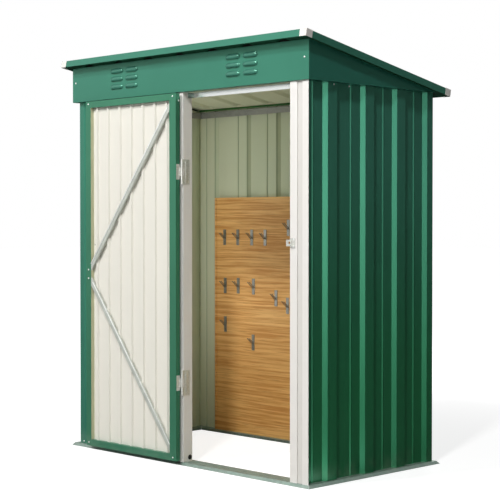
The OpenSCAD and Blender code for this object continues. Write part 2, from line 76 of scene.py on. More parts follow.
# %% Node helpers
def paint_card(red, green, blue):
    """A linear colour from 0-255 values."""
    steps = [v / 255 for v in (red, green, blue)]
    return tuple(v / 12.92 if v <= 0.04045 else ((v + 0.055) / 1.055) ** 2.4 for v in steps) + (1,)


def add_node(tree, kind, inputs=None, **settings):
    """Places one node. inputs maps a socket's name or number to a constant or to another node's output."""
    node = tree.nodes.new(kind)
    for key, value in settings.items():
        setattr(node, key, value)
    for key, value in (inputs or {}).items():
        if isinstance(value, bpy.types.NodeSocket):
            tree.links.new(value, node.inputs[key])
        else:
            node.inputs[key].default_value = value
    return node


def math_node(tree, operation, *values, clamp=False):
    """A Math node; each value is a number or another node's output."""
    return add_node(tree, "ShaderNodeMath", dict(enumerate(values)), operation=operation,
                    use_clamp=clamp).outputs[0]


def mix_colour(tree, factor, first, second):
    """Mixes two colours; factor and colours are constants or outputs."""
    mix = add_node(tree, "ShaderNodeMix", {0: factor, 6: first, 7: second}, data_type="RGBA")
    return mix.outputs[2]


def ramp(tree, value, start, end, low=0.0, high=1.0):
    """Maps value from start..end to low..high along a smooth step."""
    node = add_node(tree, "ShaderNodeMapRange",
                    {0: value, 1: start, 2: end, 3: low, 4: high}, interpolation_type="SMOOTHSTEP")
    return node.outputs[0]


# %% Group and material helpers
def new_group(name, inputs, outputs):
    """A shader node group with named sockets; inputs and outputs map a name to (socket type, default)."""
    tree = bpy.data.node_groups.new(name, "ShaderNodeTree")
    for direction, sockets in (("INPUT", inputs), ("OUTPUT", outputs)):
        for label, (kind, default) in sockets.items():
            socket = tree.interface.new_socket(label, in_out=direction, socket_type="NodeSocket" + kind)
            if default is not None:
                socket.default_value = default
    entry = tree.nodes.new("NodeGroupInput")
    leave = tree.nodes.new("NodeGroupOutput")
    return tree, entry.outputs, leave.inputs


def place_group(tree, group, **inputs):
    """Places a node group, with its inputs given by name, and returns its outputs."""
    return add_node(tree, "ShaderNodeGroup", inputs, node_tree=group).outputs


def new_material(name, **constants):
    """A Principled material; constants set the shader's own sockets."""
    material = bpy.data.materials.new(name)
    material.use_nodes = True
    tree = material.node_tree
    shader = tree.nodes["Principled BSDF"]
    for key, value in constants.items():
        shader.inputs[key.replace("_", " ")].default_value = value
    return material, tree, shader.inputs


def object_axis(tree, axis):
    """One of the object's own coordinates: X, Y or Z."""
    place = add_node(tree, "ShaderNodeTexCoord").outputs["Object"]
    return add_node(tree, "ShaderNodeSeparateXYZ", {0: place}).outputs[axis]


def relief(tree, shader, height, strength, distance, **softened):
    """Gives the shader a fine relief from a height, over a softened Normal if one is given."""
    bump = add_node(tree, "ShaderNodeBump",
                    {"Height": height, "Strength": strength, "Distance": distance, **softened})
    tree.links.new(bump.outputs[0], shader["Normal"])

# %% [markdown]
# ## Studio
# A pale floor lies in a white surround. A firm soft light stands in front of the door, and a second one
# rakes across the side wall and draws the dark lines behind its ribs. A large card beside the camera, seen
# only in reflections, draws the bright lines down the ribs. One light behind the shed shows the two walls
# that the photograph doesn't. Two small lamps stand inside, behind the front wall and behind the right
# post, where a photographer would hide them. The level of a light is the share of a written colour that it
# renders on a face turned to it, so together they stay near one.
#
# The full white belongs to camera rays alone and adds no light to the object, and a sheet of white paper
# by the front right corner shows in reflections alone. For all other rays the surround is dim, and dimmer
# still behind the shed, which keeps the shaded side wall deep in colour.

# %% Surround
SOFT_FRONT, SOFT_BACK = 0.14, 0.02
MIRRORED_GAIN = 8.0
world = bpy.data.worlds.new("white_surround")
scene.world = world
world.use_nodes = True
tree = world.node_tree
rays = add_node(tree, "ShaderNodeLightPath").outputs
direction = add_node(tree, "ShaderNodeTexCoord").outputs["Generated"]
axes = add_node(tree, "ShaderNodeSeparateXYZ", {0: direction}).outputs
soft = ramp(tree, axes["Y"], 0.3, -0.8, SOFT_BACK, SOFT_FRONT)
overhead = ramp(tree, axes["Z"], 0.4, 0.7, 0, SOFT_FRONT)
mirrored = math_node(tree, "MULTIPLY", math_node(tree, "MAXIMUM", soft, overhead), MIRRORED_GAIN)
dim = add_node(tree, "ShaderNodeMix", {0: rays["Is Glossy Ray"], 2: soft, 3: mirrored}).outputs[0]
level = math_node(tree, "MAXIMUM", dim, rays["Is Camera Ray"])
tree.links.new(level, tree.nodes["Background"].inputs["Strength"])
tree.nodes["Background"].inputs["Color"].default_value = (1, 1, 1, 1)
print("surround", SOFT_BACK, "behind the shed,", SOFT_FRONT, "in front")


# %% Lights
def soft_light(name, azimuth, elevation, distance, size, aim, level):
    """An area light. azimuth is 0 in front of the door and turns to the right; level as described above."""
    data = bpy.data.lights.new(name, "AREA")
    data.shape = "RECTANGLE"
    data.size, data.size_y = size
    data.energy = level * math.pi ** 2 * distance ** 2
    lamp = bpy.data.objects.new(name, data)
    turn, rise = math.radians(azimuth), math.radians(elevation)
    away = Vector((math.sin(turn) * math.cos(rise), -math.cos(turn) * math.cos(rise), math.sin(rise)))
    lamp.location = Vector(aim) + distance * away
    lamp.rotation_euler = away.to_track_quat("Z", "Y").to_euler()
    lamp.visible_camera = False
    scene.collection.objects.link(lamp)
    return lamp


soft_light("key_light", -11, 37, 7, (1.0, 1.0), (0, 0, 0.9), 0.57)
soft_light("rib_card", 45, 5, 7, (2.0, 3.0), (0.4, 0, 0.9), 0.17).visible_diffuse = False
soft_light("rake_light", 28, 45, 7, (0.5, 0.5), (0.4, 0, 0.9), 0.52)
soft_light("inside_lamp", -50, 0, 0.72, (0.25, 1.2), (-0.07, 0.36, 1.03), 0.38)
soft_light("back_light", 205, 28, 7, (1.5, 1.5), (0, 0, 0.9), 0.22)
soft_light("post_lamp", 94, 0, 0.66, (0.08, 1.3), (0.012, -0.38, 0.85), 0.1)

# %% Finish of the floor
floor_material, tree, _ = new_material("pale_floor")
rays = add_node(tree, "ShaderNodeLightPath").outputs
place = add_node(tree, "ShaderNodeTexCoord").outputs["Object"]
far = add_node(tree, "ShaderNodeVectorMath", {0: place}, operation="LENGTH").outputs["Value"]
glow = add_node(tree, "ShaderNodeEmission", {"Strength": ramp(tree, far, 1.0, 4.0, 0.8, 1.0)}).outputs[0]
shade = add_node(tree, "ShaderNodeBsdfDiffuse", {"Color": (0.4, 0.4, 0.4, 1)}).outputs[0]
shown = add_node(tree, "ShaderNodeAddShader", {0: glow, 1: shade})
axes = add_node(tree, "ShaderNodeSeparateXYZ", {0: place}).outputs
corner = math_node(tree, "MULTIPLY", ramp(tree, axes["X"], 0.5, 0.8), ramp(tree, axes["Y"], -0.1, -0.35))
near = ramp(tree, far, 1.6, 1.0, 0.35, 2.6)
paper = math_node(tree, "MULTIPLY", math_node(tree, "MULTIPLY", corner, near), rays["Is Glossy Ray"])
gleam = add_node(tree, "ShaderNodeEmission", {"Strength": paper}).outputs[0]
mirrored = mix_colour(tree, rays["Is Glossy Ray"], (0.6, 0.6, 0.58, 1), (0.12, 0.12, 0.12, 1))
bounce = add_node(tree, "ShaderNodeBsdfDiffuse", {"Color": mirrored}).outputs[0]
unseen = add_node(tree, "ShaderNodeAddShader", {0: gleam, 1: bounce})
surface = add_node(tree, "ShaderNodeMixShader",
                   {0: rays["Is Camera Ray"], 1: unseen.outputs[0], 2: shown.outputs[0]})
tree.links.new(surface.outputs[0], tree.nodes["Material Output"].inputs["Surface"])

# %% Floor
FLOOR_HALF, FLOOR_DROP = 40, 0.0005
bm = bmesh.new()
bmesh.ops.create_grid(bm, x_segments=8, y_segments=8, size=FLOOR_HALF)
bmesh.ops.translate(bm, verts=bm.verts, vec=(0, 0, -FLOOR_DROP))
mesh = bpy.data.meshes.new("floor")
bm.to_mesh(mesh)
bm.free()
mesh.materials.append(floor_material)
floor = bpy.data.objects.new("floor", mesh)
scene.collection.objects.link(floor)
print("floor", 2 * FLOOR_HALF, "m wide")

# %% [markdown]
# ## Shared effects
# Six small node groups carry what several finishes have in common. Folded sheet has soft edges, so one
# group rounds the shading there and marks the edges. Another colours a sheet differently on its two
# sides. The others give coated steel its fine ripple, add dust near the ground, tell what lies inside
# the walls, and lay the frosty cells of hot-dip zinc.

# %% Soft edges
soft_edges, entry, leave = new_group("soft_edges", {"Radius": ("Float", 0.001)},
                                     {"Normal": ("Vector", None), "Edge": ("Float", None)})
tree = soft_edges
rounded = add_node(tree, "ShaderNodeBevel", {"Radius": entry["Radius"]}, samples=6).outputs[0]
true_normal = add_node(tree, "ShaderNodeNewGeometry").outputs["Normal"]
likeness = add_node(tree, "ShaderNodeVectorMath", {0: rounded, 1: true_normal},
                    operation="DOT_PRODUCT").outputs["Value"]
tree.links.new(rounded, leave["Normal"])
tree.links.new(ramp(tree, likeness, 0.995, 0.8), leave["Edge"])

# %% Two sides of a sheet
sheet_sides, entry, leave = new_group(
    "sheet_sides",
    {"Outer": ("Color", None), "Inner": ("Color", None), "Outward": ("Vector", None)},
    {"Color": ("Color", None), "Outside": ("Float", None)})
tree = sheet_sides
facing = add_node(tree, "ShaderNodeVectorMath",
                  {0: add_node(tree, "ShaderNodeTexCoord").outputs["Normal"], 1: entry["Outward"]},
                  operation="DOT_PRODUCT").outputs["Value"]
outside = math_node(tree, "GREATER_THAN", facing, -0.02)
tree.links.new(mix_colour(tree, outside, entry["Inner"], entry["Outer"]), leave["Color"])
tree.links.new(outside, leave["Outside"])

# %% Ripple of a coated sheet
coat_ripple, entry, leave = new_group("coat_ripple", {"Scale": ("Float", 220.0)},
                                      {"Height": ("Float", None), "Tone": ("Float", None)})
tree = coat_ripple
place = add_node(tree, "ShaderNodeTexCoord").outputs["Object"]
fine = add_node(tree, "ShaderNodeTexNoise", {"Vector": place, "Scale": entry["Scale"], "Detail": 3.0}).outputs[0]
broad = add_node(tree, "ShaderNodeTexNoise", {"Vector": place, "Scale": 2.6, "Detail": 4.0}).outputs[0]
tree.links.new(fine, leave["Height"])
tree.links.new(broad, leave["Tone"])

# %% Dust
ground_dust, entry, leave = new_group(
    "ground_dust",
    {"Color": ("Color", None), "Dust": ("Color", paint_card(168, 170, 160)), "Amount": ("Float", 0.3)},
    {"Color": ("Color", None), "Mask": ("Float", None)})
tree = ground_dust
place = add_node(tree, "ShaderNodeTexCoord").outputs["Object"]
height = add_node(tree, "ShaderNodeSeparateXYZ", {0: place}).outputs["Z"]
low = ramp(tree, height, 0.1, 0.0)
cloud = add_node(tree, "ShaderNodeTexNoise", {"Vector": place, "Scale": 14.0, "Detail": 6.0}).outputs[0]
splash = math_node(tree, "MULTIPLY", low, ramp(tree, cloud, 0.35, 0.7))
mask = math_node(tree, "MULTIPLY", splash, entry["Amount"], clamp=True)
tree.links.new(mix_colour(tree, mask, entry["Color"], entry["Dust"]), leave["Color"])
tree.links.new(mask, leave["Mask"])

# %% Inside the walls
within_walls, entry, leave = new_group(
    "within_walls", {"X": ("Float", 0.7), "Y": ("Float", 0.4)}, {"Mask": ("Float", None)})
tree = within_walls
place = add_node(tree, "ShaderNodeTexCoord").outputs["Object"]
axes = add_node(tree, "ShaderNodeSeparateXYZ", {0: place}).outputs
inside = [math_node(tree, "LESS_THAN", math_node(tree, "ABSOLUTE", axes[axis]), entry[axis]) for axis in "XY"]
tree.links.new(math_node(tree, "MULTIPLY", *inside), leave["Mask"])

# %% Cells of hot-dip zinc
zinc_cells, entry, leave = new_group("zinc_cells", {"Scale": ("Float", 90.0)},
                                     {"Tone": ("Float", None), "Height": ("Float", None)})
tree = zinc_cells
place = add_node(tree, "ShaderNodeTexCoord").outputs["Object"]
bent = add_node(tree, "ShaderNodeTexNoise", {"Vector": place, "Scale": 40.0, "Detail": 2.0}).outputs["Color"]
moved = add_node(tree, "ShaderNodeVectorMath", {0: place, 1: mix_colour(tree, 0.985, bent, (0, 0, 0, 1))},
                 operation="ADD").outputs[0]
cells = add_node(tree, "ShaderNodeTexVoronoi", {"Vector": moved, "Scale": entry["Scale"]}).outputs["Color"]
tone = add_node(tree, "ShaderNodeSeparateColor", {0: cells}).outputs[0]
tree.links.new(tone, leave["Tone"])
tree.links.new(tone, leave["Height"])
print("groups", [g.name for g in bpy.data.node_groups])

# %% [markdown]
# ## Green and cream coated sheet
# The walls, the roof and the gables are steel coated green outside and cream inside. One recipe makes
# all of them, and only the direction that counts as outside changes, so the two colours meet exactly at
# the sheet's edge whichever way the sheet is folded. The coat has a low gloss with a green tint and a
# painted highlight at the folds, and near the ground it turns a deeper green and is dusty. The roof's
# underside beyond the walls is painted dark green as shade, and inside, painted shade lies in the rear
# wall's grooves.

# %% Colours of the coats
GREEN = paint_card(54, 112, 95)
# Painted highlight colour for the folds and edges.
GREEN_EDGE_HIGHLIGHT = paint_card(92, 146, 126)
DEEP_GREEN = paint_card(34, 105, 64)
GABLE_GREEN = paint_card(42, 104, 90)
# Painted shade: the roof's underside beyond the walls, the trims' undersides and the caps' downward faces take this
# dark green.
UNDERSIDE_SHADE_GREEN = paint_card(16, 46, 28)
SHADE_GREEN = (0.01, 0.04, 0.03, 1)
GREEN_GLOSS = (0.24, 1.0, 0.6, 1)
WHITE_GLOSS = (1, 1, 1, 1)
CREAM = paint_card(226, 223, 213)
INNER_CREAM = paint_card(211, 210, 187)
# Painted shade for the narrow grooves of the rear wall, seen from inside.
GROOVE_SHADE = paint_card(176, 176, 152)
GROOVE_START, GROOVE_DEPTH, GROOVE_BLEND = 0.0008, 0.0055, 0.001
FOOT_TOP, FOOT_LOW = 1.5, 0.2
EDGE_RADIUS = 0.0012


# %% Recipe of a coated sheet
def coated_sheet(name, outer, inner, outward, tint=GREEN_GLOSS, shine=1.0, gloss=0.28, inner_gloss=0.6, reach=None,
                 groove=None, foot=None):
    """Steel sheet with an outer and an inner coat. Past reach, in X and Y, the inner coat gives way to a dark
    green painted shade. Painted shade lies in the narrow grooves behind Y = groove. The outer colour turns to the
    colour foot towards the ground."""
    material, tree, shader = new_material(name, Specular_IOR_Level=shine, Specular_Tint=tint)
    if reach:
        # Painted shade: past reach the sheet's underside is painted dark green.
        inner = mix_colour(tree, place_group(tree, within_walls, X=reach[0], Y=reach[1])["Mask"], UNDERSIDE_SHADE_GREEN, inner)
    if groove is not None:
        # Painted shade: the narrow grooves behind Y = groove are painted a darker cream.
        depth = math_node(tree, "SUBTRACT", object_axis(tree, "Y"), groove)
        past_lip = ramp(tree, depth, GROOVE_START, GROOVE_START * 2)
        shallow = ramp(tree, depth, GROOVE_DEPTH + GROOVE_BLEND, GROOVE_DEPTH)
        inner = mix_colour(tree, math_node(tree, "MULTIPLY", past_lip, shallow), inner, GROOVE_SHADE)
    if foot:
        outer = mix_colour(tree, ramp(tree, object_axis(tree, "Z"), FOOT_TOP, FOOT_LOW), outer, foot)
    ripple = place_group(tree, coat_ripple)
    edges = place_group(tree, soft_edges, Radius=EDGE_RADIUS)
    shade = mix_colour(tree, ramp(tree, ripple["Tone"], 0.3, 0.7, 0.0, 0.14), outer, SHADE_GREEN)
    # Painted highlight: folds and edges are painted a lighter green.
    lit = mix_colour(tree, ramp(tree, edges["Edge"], 0, 1, 0, 0.35), shade, GREEN_EDGE_HIGHLIGHT)
    sides = place_group(tree, sheet_sides, Outer=lit, Inner=inner, Outward=outward)
    dusty = place_group(tree, ground_dust, Color=sides["Color"], Amount=0.16)
    tree.links.new(dusty["Color"], shader["Base Color"])
    satin = ramp(tree, sides["Outside"], 0, 1, inner_gloss, gloss)
    rough = math_node(tree, "ADD", satin, ramp(tree, ripple["Tone"], 0.2, 0.8, 0.0, 0.03))
    tree.links.new(math_node(tree, "ADD", rough, dusty["Mask"], clamp=True), shader["Roughness"])
    relief(tree, shader, ripple["Height"], 0.06, 0.0004, Normal=edges["Normal"])
    return material


# %% [markdown]
# ### Which way is outside
# Each wall has one outward direction. The roof's is tilted, so its fall is measured first. A side trim is a
# straight bar of known height that lies along the slope, so the length and height of its box give the angle.

# %% Fall of the roof
def nodes_box(name):
    """Lowest and highest corner of a CAD node."""
    return [Vector(corner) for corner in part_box(name)]


FRONT, REAR, LEFT, RIGHT = (0, -1, 0), (0, 1, 0), (-1, 0, 0), (1, 0, 0)
TRIM_HEIGHT = 0.0266
side_low, side_high = nodes_box("roof_trim_right")
trim_y, trim_z = side_high.y - side_low.y, side_high.z - side_low.z
trim_length = math.sqrt(trim_y ** 2 + trim_z ** 2 - TRIM_HEIGHT ** 2)
roof_fall = math.atan2(trim_z, trim_y) - math.atan2(TRIM_HEIGHT, trim_length)
UP_ROOF = (0, math.sin(roof_fall), math.cos(roof_fall))
print("roof falls", round(math.degrees(roof_fall), 2), "degrees")


# %% Coat the walls and the roof
def dress(material, *names):
    """Puts a material in the slot of each CAD node."""
    for name in names:
        slots = nodes[name].data.materials
        if len(slots):
            slots[0] = material
        else:
            slots.append(material)


dress(coated_sheet("sheet_front", GREEN, INNER_CREAM, FRONT), "front_wall_sheet", "front_fascia")
rear_face = nodes_box("rear_wall_sheet_middle")[0].y
dress(coated_sheet("sheet_rear", GREEN, INNER_CREAM, REAR, groove=rear_face, foot=DEEP_GREEN),
      "rear_wall_sheet_left", "rear_wall_sheet_middle", "rear_wall_sheet_right")
dress(coated_sheet("sheet_left", GREEN, INNER_CREAM, LEFT, foot=DEEP_GREEN),
      "left_wall_sheet_front", "left_wall_sheet_rear")
dress(coated_sheet("sheet_right", GREEN, INNER_CREAM, RIGHT, foot=DEEP_GREEN),
      "right_wall_sheet_front", "right_wall_sheet_rear")
dress(coated_sheet("gable_left", GABLE_GREEN, INNER_CREAM, LEFT), "gable_panel_left")
dress(coated_sheet("gable_right", GABLE_GREEN, INNER_CREAM, RIGHT), "gable_panel_right")
wall_reach = (nodes_box("right_wall_sheet_rear")[1].x, nodes_box("rear_wall_sheet_middle")[1].y)
dress(coated_sheet("sheet_roof", GREEN, INNER_CREAM, UP_ROOF, reach=wall_reach),
      "roof_sheet_left", "roof_sheet_middle", "roof_sheet_right")
# Painted shade: the trims' undersides are painted dark green.
dress(coated_sheet("trim_green", GREEN, UNDERSIDE_SHADE_GREEN, UP_ROOF),
      "roof_trim_front_left", "roof_trim_front_right", "roof_trim_left", "roof_trim_right", "roof_trim_rear")
print("coated sheets", [m.name for m in bpy.data.materials if m.name.startswith("sheet")])

# %% [markdown]
# ## The door's coat
# The door's frame is green, a little deeper than the walls, and only the free stile's rebate beside the
# panel is cream, painted a darker olive cream as the shade it stands in. The ribbed panel shows its cream
# inner side when the door stands open, and its green outer side when it is shut.

# %% Door coat
DOOR_GREEN = paint_card(58, 113, 88)
# The rebate's cream is painted darker and olive as shade.
REBATE_SHADED_CREAM = paint_card(196, 188, 158)
dress(coated_sheet("door_frame_green", DOOR_GREEN, DOOR_GREEN, FRONT, inner_gloss=0.28),
      "door_stile_hinge", "door_rail_top", "door_rail_bottom")
dress(coated_sheet("free_stile_green", DOOR_GREEN, REBATE_SHADED_CREAM, LEFT), "door_stile_free")
dress(coated_sheet("door_panel", GREEN, CREAM, REAR, tint=WHITE_GLOSS, shine=0.3, inner_gloss=0.45), "door_sheet")
coated = ("door_stile_free", "door_rail_top", "door_sheet")
print("door coats", [nodes[name].data.materials[0].name for name in coated])

# %% [markdown]
# ## White posts and plastic caps
# The door posts are coated white, and the roof's corner caps are moulded plastic whose downward faces
# are painted dark green as shade. Both are nearly white, so the detail is in the gloss, a faint warm cast,
# the dust and a grey painted shade in the right post's recess.

# %% White coats
# The second colour is a painted shade for the right post's recess.
WARM_CAST, RECESS_SHADE_GREY = paint_card(214, 206, 190), paint_card(186, 184, 176)
GROOVE_LIP, GROOVE_FADE = 0.0005, 0.003


def white_coat(name, colour, gloss, dust, groove_y=None, under=None):
    """White paint or plastic. Behind groove_y the coat is painted greyer as shade, and faces that look down take the
    colour under as painted shade.
    """
    material, tree, shader = new_material(name, Specular_IOR_Level=0.4)
    ripple = place_group(tree, coat_ripple, Scale=150.0)
    edges = place_group(tree, soft_edges, Radius=EDGE_RADIUS)
    warm = mix_colour(tree, ramp(tree, ripple["Tone"], 0.3, 0.7, 0.0, 0.1), colour, WARM_CAST)
    if groove_y is not None:
        # Painted shade: the recess behind groove_y is painted greyer.
        grey = ramp(tree, object_axis(tree, "Y"), groove_y, groove_y + GROOVE_FADE, 0, 0.35)
        warm = mix_colour(tree, grey, warm, RECESS_SHADE_GREY)
    if under:
        # Painted shade: faces that look down take the dark colour under.
        warm = place_group(tree, sheet_sides, Outer=warm, Inner=under, Outward=UP_ROOF)["Color"]
    dusty = place_group(tree, ground_dust, Color=warm, Amount=dust)
    tree.links.new(dusty["Color"], shader["Base Color"])
    tree.links.new(ramp(tree, ripple["Tone"], 0.2, 0.8, gloss - 0.05, gloss + 0.08), shader["Roughness"])
    relief(tree, shader, ripple["Height"], 0.05, 0.0004, Normal=edges["Normal"])
    return material


# %% Coat the posts and the caps
POST_WHITE, CAP_WHITE = paint_card(232, 229, 225), paint_card(226, 223, 218)
post_face = nodes_box("door_post_right")[0].y
dress(white_coat("post_white", POST_WHITE, 0.4, 0.16), "door_post_left")
dress(white_coat("grooved_post_white", POST_WHITE, 0.4, 0.16, groove_y=post_face + GROOVE_LIP), "door_post_right")
dress(white_coat("cap_white", CAP_WHITE, 0.45, 0.1, under=UNDERSIDE_SHADE_GREEN), "roof_corner_caps")
print("white coats", [m.name for m in bpy.data.materials if m.name.endswith("white")])

# %% [markdown]
# ## Zinc and bare steel
# The base rails, the channels along the wall tops and the door's braces are hot-dip zinc with large
# frosty cells. Hinges, latch and hooks are plainer plated steel, and the bar over the doorway is the
# brightest. All are metals, so the colour is in the reflection and the detail in how rough it is; their
# edges carry a painted highlight.

# %% Recipe of a plated metal
EDGE_HIGHLIGHT, METAL_EDGE_RADIUS = paint_card(232, 234, 232), 0.0008


def plated(name, bright, dull, cell_scale, rough, metal, spread=0.14):
    """Plated metal whose cells differ in colour from dull to bright, and in roughness by spread."""
    material, tree, shader = new_material(name, Metallic=metal)
    cells = place_group(tree, zinc_cells, Scale=cell_scale)
    edges = place_group(tree, soft_edges, Radius=METAL_EDGE_RADIUS)
    colour = mix_colour(tree, cells["Tone"], dull, bright)
    # Painted highlight: the edges are painted near-white.
    lit = mix_colour(tree, ramp(tree, edges["Edge"], 0, 1, 0, 0.4), colour, EDGE_HIGHLIGHT)
    dusty = place_group(tree, ground_dust, Color=lit, Amount=0.2)
    tree.links.new(dusty["Color"], shader["Base Color"])
    tree.links.new(ramp(tree, cells["Tone"], 0, 1, rough, rough + spread), shader["Roughness"])
    relief(tree, shader, cells["Height"], 0.04, 0.0003, Normal=edges["Normal"])
    return material


# %% Plate the rails, braces, hinges and hooks
zinc = plated("hot_dip_zinc", paint_card(140, 160, 150), paint_card(126, 144, 135), 90.0, 0.42, 0.6)
dress(zinc, "base_rail_front", "base_rail_rear", "base_rail_left", "base_rail_right")
dress(plated("rail_zinc", paint_card(150, 151, 146), paint_card(136, 137, 132), 60.0, 0.42, 0.3),
      "top_rail_front", "top_rail_rear", "top_rail_left", "top_rail_right")
brace_zinc = plated("brace_zinc", paint_card(196, 200, 192), paint_card(186, 190, 182), 40.0, 0.42, 0.3)
dress(brace_zinc, "door_brace_upper", "door_brace_lower")
dress(plated("header_steel", paint_card(250, 252, 250), paint_card(244, 247, 246), 400.0, 0.25, 0.9, spread=0.02),
      "door_header")
hinge_steel = plated("hinge_steel", paint_card(226, 226, 220), paint_card(204, 204, 198), 260.0, 0.3, 0.55)
dress(hinge_steel, "frame_hinge_leaves", "door_hinge_leaves", "door_latch", "latch_keeper")
hook_steel = plated("hook_steel", paint_card(150, 150, 144), paint_card(118, 118, 112), 320.0, 0.3, 0.7)
dress(hook_steel, "tool_hooks")
print("metals", [m.name for m in bpy.data.materials if m.name.endswith(("zinc", "steel"))])

# %% [markdown]
# ## Timber board
# The tool board is glued up from strips of light wood that run across it. The grain is a noise pulled
# out sideways, the strips are cells that are much longer than high, and fine dark pores follow them.

# %% Timber
timber, tree, shader = new_material("timber_board", Specular_IOR_Level=0.35)
place = add_node(tree, "ShaderNodeTexCoord").outputs["Object"]
wander = add_node(tree, "ShaderNodeTexNoise", {"Vector": place, "Scale": 3.0, "Detail": 2.0}).outputs["Color"]
bent = add_node(tree, "ShaderNodeVectorMath",
                {0: place, 1: mix_colour(tree, 0.988, wander, (0, 0, 0, 1))}, operation="ADD").outputs[0]
grain_place = add_node(tree, "ShaderNodeMapping", {"Vector": bent, "Scale": (2.6, 2.6, 90)}).outputs[0]
grain = add_node(tree, "ShaderNodeTexNoise", {"Vector": grain_place, "Scale": 1.0, "Detail": 6.0,
                                              "Roughness": 0.62}).outputs[0]
pore_place = add_node(tree, "ShaderNodeMapping", {"Vector": bent, "Scale": (9, 9, 420)}).outputs[0]
pores = add_node(tree, "ShaderNodeTexNoise", {"Vector": pore_place, "Scale": 1.0, "Detail": 2.0}).outputs[0]
strip_place = add_node(tree, "ShaderNodeMapping", {"Vector": place, "Scale": (1.6, 1.6, 34)}).outputs[0]
strips = add_node(tree, "ShaderNodeTexVoronoi", {"Vector": strip_place, "Scale": 1.0}).outputs["Color"]
strip_tone = add_node(tree, "ShaderNodeSeparateColor", {0: strips}).outputs[0]
pale = mix_colour(tree, ramp(tree, grain, 0.36, 0.62), paint_card(204, 142, 74), paint_card(242, 192, 120))
toned = mix_colour(tree, ramp(tree, strip_tone, 0, 1, 0, 0.28), pale, paint_card(200, 142, 72))
wood = mix_colour(tree, ramp(tree, pores, 0.6, 0.72, 0, 0.5), toned, paint_card(150, 98, 50))
tree.links.new(wood, shader["Base Color"])
tree.links.new(ramp(tree, grain, 0.3, 0.7, 0.62, 0.46), shader["Roughness"])
relief(tree, shader, pores, 0.12, 0.0006)
dress(timber, "tool_board")
print("materials", len(bpy.data.materials))

# %% [markdown]
# ## Small pieces
# The sheet-metal louvres, screws, rivets and other small parts ride on the bodies of the frame. Each is
# a short bmesh recipe. A round head is a profile of a few points spun about its axis, and a strip or a
# bracket is a box with rounded edges. A part that repeats is made once as a template and copied to its
# places, which are measured from the CAD nodes.

# %% Piece helpers
def add_piece(name, bm, material, body, sharp=40):
    """Turns a bmesh into a finished piece at the origin that rides on a body."""
    bmesh.ops.recalc_face_normals(bm, faces=bm.faces)
    mesh = bpy.data.meshes.new(name)
    bm.to_mesh(mesh)
    bm.free()
    mesh.shade_smooth()
    mesh.set_sharp_from_angle(angle=math.radians(sharp))
    mesh.materials.append(material)
    piece = bpy.data.objects.new(name, mesh)
    scene.collection.objects.link(piece)
    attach(piece, body)
    print(name, len(mesh.polygons), "faces")


def template(bm):
    """Keeps a bmesh as a mesh that copies() repeats."""
    mesh = bpy.data.meshes.new("template")
    bm.to_mesh(mesh)
    bm.free()
    return mesh


def copies(shape, placements):
    """A bmesh with one copy of the template at each placement matrix."""
    bm = bmesh.new()
    for matrix in placements:
        first = len(bm.verts)
        bm.from_mesh(shape)
        bm.verts.ensure_lookup_table()
        bmesh.ops.transform(bm, matrix=matrix, verts=bm.verts[first:])
    return bm


def standing(place, outward):
    """The placement of a part at a point, with its own Z turned outward."""
    return Matrix.Translation(place) @ Vector(outward).to_track_quat("Z", "Y").to_matrix().to_4x4()


# %% Round parts and rounded boxes
def turned(profile, steps=16):
    """A round part: (radius, height) points spun about Z."""
    bm = bmesh.new()
    verts = [bm.verts.new((radius, 0, height)) for radius, height in profile]
    edges = [bm.edges.new(pair) for pair in zip(verts, verts[1:])]
    bmesh.ops.spin(bm, geom=verts + edges, cent=(0, 0, 0), axis=(0, 0, 1), angle=math.tau, steps=steps,
                   use_merge=True)
    bmesh.ops.remove_doubles(bm, verts=bm.verts, dist=1e-6)
    return template(bm)


def round_edges(bm, edges, radius, segments=2):
    """Rounds the given edges."""
    bmesh.ops.bevel(bm, geom=edges, offset=radius, offset_type="OFFSET", segments=segments, profile=0.5,
                    affect="EDGES", material=-1)


def rounded_box(bm, place, size, radius, segments=2):
    """Adds a box of a size at a placement and rounds its edges."""
    box = bmesh.ops.create_cube(bm, size=1, matrix=place @ Matrix.Diagonal((*size, 1)))
    edges = {edge for vert in box["verts"] for edge in vert.link_edges}
    round_edges(bm, list(edges), radius, segments)


# %% [markdown]
# ### Louvre hoods
# The fascia's vents are pressed outwards as long half-domes that are open below. A sphere stretched along
# the vent gives the round ends, two cuts take away the back and the lower part, and a solidify step
# gives the hood its sheet thickness. They cover the plainer hoods of the CAD model.

# %% Louvre hoods
HOOD_HALF, HOOD_END, HOOD_REACH, HOOD_RISE, HOOD_OPEN = 0.043, 0.024, 0.0078, 0.013, 0.0085
HOOD_SHEET = 0.0009
LOUVRE_GLOSS = (0.45, 1, 0.75, 1)
bm = bmesh.new()
bmesh.ops.create_uvsphere(bm, u_segments=32, v_segments=17, radius=1, matrix=Matrix.Rotation(math.pi / 2, 4, "Y"))
for vert in bm.verts:
    vert.co.x = vert.co.x * HOOD_END + math.copysign(HOOD_HALF - HOOD_END, vert.co.x)
bmesh.ops.scale(bm, vec=(1, HOOD_REACH, HOOD_RISE), verts=bm.verts)
for point, normal in (((0, 0, 0), (0, 1, 0)), ((0, 0, -HOOD_OPEN), (0, 0, -1))):
    bmesh.ops.bisect_plane(bm, geom=bm.verts[:] + bm.edges[:] + bm.faces[:], plane_co=point, plane_no=normal,
                           clear_outer=True)
bmesh.ops.recalc_face_normals(bm, faces=bm.faces)
bmesh.ops.solidify(bm, geom=bm.faces[:], thickness=HOOD_SHEET)
hood = template(bm)
print("hood", len(hood.polygons), "faces")

